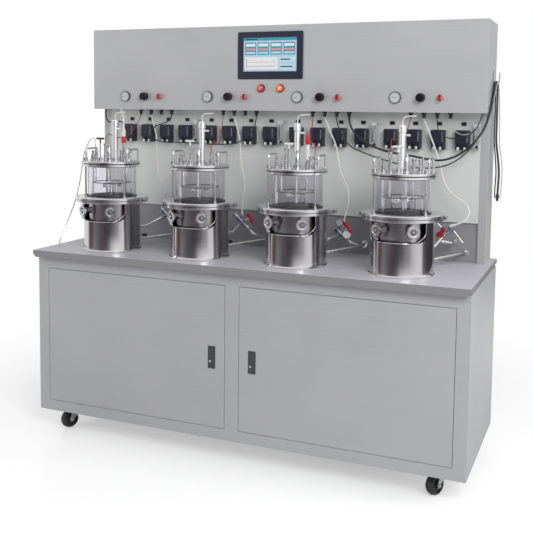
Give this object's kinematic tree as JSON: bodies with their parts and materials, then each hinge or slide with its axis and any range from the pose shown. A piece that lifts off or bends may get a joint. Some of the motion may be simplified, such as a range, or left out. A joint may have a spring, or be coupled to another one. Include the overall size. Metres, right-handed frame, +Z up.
{
  "type": "bench bioreactor",
  "caption": "Parallel bench bioreactor: stirred glass and steel vessels with condensers on a two-door wheeled cabinet, with pump panel and overhead touch-screen console.",
  "frame": {"origin": "on the floor under the middle of the footprint", "axes": "+Z up, -Y is the front with the doors and the console's face, +X to the right as seen from the front"},
  "size_m": [1.7664, 0.634, 1.684],
  "materials": {
    "amber_plastic": "translucent gloss",
    "bench_laminate": "smooth solid laminate",
    "bezel_black": "dark aluminium bezel look",
    "black_plastic": "moulded",
    "black_rubber": "cable sheath",
    "clear_glass": "borosilicate glass",
    "console_paint": "fine brushed look under clear coat",
    "dark_metal": "black painted motor",
    "gauge_steel": "rim with pale dial",
    "grey_paint": "powder coat, semi-matt",
    "latch_grey": "moulded, fine grain",
    "pale_paint": "powder coat, semi-matt",
    "polished_steel": "polished stainless steel",
    "pump_grey": "moulded",
    "red_plastic": "gloss",
    "screen_glass": "lit display",
    "steel": "satin stainless steel",
    "tyre_black": "solid rubber tyre",
    "white_hose": "silicone hose",
    "zinc": "zinc plated"
  },
  "bodies": {
    "frame": {"back_panel": "pale_paint", "bench_top": "bench_laminate", "black_loom": "black_rubber", "cabinet_shell": "grey_paint", "caster_plates": "zinc", "condensers": "steel", "console_housing": "console_paint", "console_sockets": "black_plastic", "flow_meters": "pump_grey", "flow_tubes": "clear_glass", "gauges": "gauge_steel", "glass_walls": "clear_glass", "head_fittings": "steel", "head_plates": "steel", "lead_connector": "red_plastic", "pipework": "steel", "port_clamps": "steel", "pump_bases": "pump_grey", "pump_heads": "black_plastic", "rear_frame": "grey_paint", "rocker_switches": "black_plastic", "screen_bezel": "bezel_black", "screen_display": "screen_glass", "side_hook": "steel", "stirrer_motors": "dark_metal", "tie_rods": "steel", "vessel_bodies": "steel", "vessel_stands": "polished_steel", "white_hose_1": "white_hose", "white_hose_2": "white_hose", "white_hose_3": "white_hose", "white_hose_4": "white_hose"},
    "left_door": {"left_door": "grey_paint", "left_latch_case": "latch_grey"},
    "left_latch_lever": {"left_latch_handle": "latch_grey"},
    "right_door": {"right_door": "grey_paint", "right_latch_case": "latch_grey"},
    "right_latch_lever": {"right_latch_handle": "latch_grey"},
    "caster_fork_1": {"caster_fork_1": "zinc"},
    "caster_wheel_1": {"caster_wheel_1": "tyre_black"},
    "caster_fork_2": {"caster_fork_2": "zinc"},
    "caster_wheel_2": {"caster_wheel_2": "tyre_black"},
    "caster_fork_3": {"caster_fork_3": "zinc"},
    "caster_wheel_3": {"caster_wheel_3": "tyre_black"},
    "caster_fork_4": {"caster_fork_4": "zinc"},
    "caster_wheel_4": {"caster_wheel_4": "tyre_black"},
    "regulator_knob_1": {"regulator_knob_1": "black_plastic"},
    "selector_knob_1": {"selector_knob_1": "red_plastic"},
    "agitator_1": {"agitator_1": "steel"},
    "regulator_knob_2": {"regulator_knob_2": "black_plastic"},
    "selector_knob_2": {"selector_knob_2": "red_plastic"},
    "agitator_2": {"agitator_2": "steel"},
    "regulator_knob_3": {"regulator_knob_3": "black_plastic"},
    "selector_knob_3": {"selector_knob_3": "red_plastic"},
    "agitator_3": {"agitator_3": "steel"},
    "regulator_knob_4": {"regulator_knob_4": "black_plastic"},
    "selector_knob_4": {"selector_knob_4": "red_plastic"},
    "agitator_4": {"agitator_4": "steel"},
    "red_button": {"red_button": "red_plastic"},
    "amber_button": {"amber_button": "amber_plastic"}
  },
  "joints": [
    {"name": "left_door_hinge", "type": "hinge", "parent": "frame", "child": "left_door", "pos_m": [-0.81, -0.277, 0.4145], "axis": [0, 0, -1], "range_deg": [0, 110]},
    {"name": "left_latch_pivot", "type": "hinge", "parent": "left_door", "child": "left_latch_lever", "pos_m": [-0.083, -0.28, 0.4431], "axis": [-1, 0, 0], "range_deg": [0, 45], "stiffness_Nm_per_rad": 0.2},
    {"name": "right_door_hinge", "type": "hinge", "parent": "frame", "child": "right_door", "pos_m": [0.81, -0.277, 0.4145], "axis": [0, 0, 1], "range_deg": [0, 110]},
    {"name": "right_latch_pivot", "type": "hinge", "parent": "right_door", "child": "right_latch_lever", "pos_m": [0.083, -0.28, 0.4431], "axis": [-1, 0, 0], "range_deg": [0, 45], "stiffness_Nm_per_rad": 0.2},
    {"name": "caster_swivel_1", "type": "hinge", "parent": "frame", "child": "caster_fork_1", "pos_m": [-0.771, -0.1726, 0.088], "axis": [0, 0, 1], "continuous": true},
    {"name": "caster_roll_1", "type": "hinge", "parent": "caster_fork_1", "child": "caster_wheel_1", "pos_m": [-0.78661, -0.20504, 0.0375], "axis": [-0.9011, 0.4337, 0], "continuous": true},
    {"name": "caster_swivel_2", "type": "hinge", "parent": "frame", "child": "caster_fork_2", "pos_m": [0.771, -0.1726, 0.088], "axis": [0, 0, 1], "continuous": true},
    {"name": "caster_roll_2", "type": "hinge", "parent": "caster_fork_2", "child": "caster_wheel_2", "pos_m": [0.75539, -0.20504, 0.0375], "axis": [-0.9011, 0.4337, 0], "continuous": true},
    {"name": "caster_swivel_3", "type": "hinge", "parent": "frame", "child": "caster_fork_3", "pos_m": [-0.771, 0.2066, 0.088], "axis": [0, 0, 1], "continuous": true},
    {"name": "caster_roll_3", "type": "hinge", "parent": "caster_fork_3", "child": "caster_wheel_3", "pos_m": [-0.78661, 0.17416, 0.0375], "axis": [-0.9011, 0.4337, 0], "continuous": true},
    {"name": "caster_swivel_4", "type": "hinge", "parent": "frame", "child": "caster_fork_4", "pos_m": [0.771, 0.2066, 0.088], "axis": [0, 0, 1], "continuous": true},
    {"name": "caster_roll_4", "type": "hinge", "parent": "caster_fork_4", "child": "caster_wheel_4", "pos_m": [0.75539, 0.17416, 0.0375], "axis": [-0.9011, 0.4337, 0], "continuous": true},
    {"name": "regulator_turn_1", "type": "hinge", "parent": "frame", "child": "regulator_knob_1", "pos_m": [-0.5885, 0.07, 1.396], "axis": [0, -1, 0], "range_deg": [-720, 720]},
    {"name": "selector_turn_1", "type": "hinge", "parent": "frame", "child": "selector_knob_1", "pos_m": [-0.516, 0.075, 1.396], "axis": [0, -1, 0], "range_deg": [-45, 45]},
    {"name": "agitator_spin_1", "type": "hinge", "parent": "frame", "child": "agitator_1", "pos_m": [-0.6175, -0.134, 0.95], "axis": [0, 0, 1], "continuous": true},
    {"name": "regulator_turn_2", "type": "hinge", "parent": "frame", "child": "regulator_knob_2", "pos_m": [-0.1895, 0.07, 1.396], "axis": [0, -1, 0], "range_deg": [-720, 720]},
    {"name": "selector_turn_2", "type": "hinge", "parent": "frame", "child": "selector_knob_2", "pos_m": [-0.117, 0.075, 1.396], "axis": [0, -1, 0], "range_deg": [-45, 45]},
    {"name": "agitator_spin_2", "type": "hinge", "parent": "frame", "child": "agitator_2", "pos_m": [-0.2115, -0.134, 0.95], "axis": [0, 0, 1], "continuous": true},
    {"name": "regulator_turn_3", "type": "hinge", "parent": "frame", "child": "regulator_knob_3", "pos_m": [0.2095, 0.07, 1.396], "axis": [0, -1, 0], "range_deg": [-720, 720]},
    {"name": "selector_turn_3", "type": "hinge", "parent": "frame", "child": "selector_knob_3", "pos_m": [0.282, 0.075, 1.396], "axis": [0, -1, 0], "range_deg": [-45, 45]},
    {"name": "agitator_spin_3", "type": "hinge", "parent": "frame", "child": "agitator_3", "pos_m": [0.1945, -0.134, 0.95], "axis": [0, 0, 1], "continuous": true},
    {"name": "regulator_turn_4", "type": "hinge", "parent": "frame", "child": "regulator_knob_4", "pos_m": [0.6085, 0.07, 1.396], "axis": [0, -1, 0], "range_deg": [-720, 720]},
    {"name": "selector_turn_4", "type": "hinge", "parent": "frame", "child": "selector_knob_4", "pos_m": [0.681, 0.075, 1.396], "axis": [0, -1, 0], "range_deg": [-45, 45]},
    {"name": "agitator_spin_4", "type": "hinge", "parent": "frame", "child": "agitator_4", "pos_m": [0.6005, -0.134, 0.95], "axis": [0, 0, 1], "continuous": true},
    {"name": "red_button_press", "type": "slide", "parent": "frame", "child": "red_button", "axis": [0, 1, 0], "range_m": [0, 0.004], "stiffness_N_per_m": 400},
    {"name": "amber_button_press", "type": "slide", "parent": "frame", "child": "amber_button", "axis": [0, 1, 0], "range_m": [0, 0.004], "stiffness_N_per_m": 400}
  ]
}
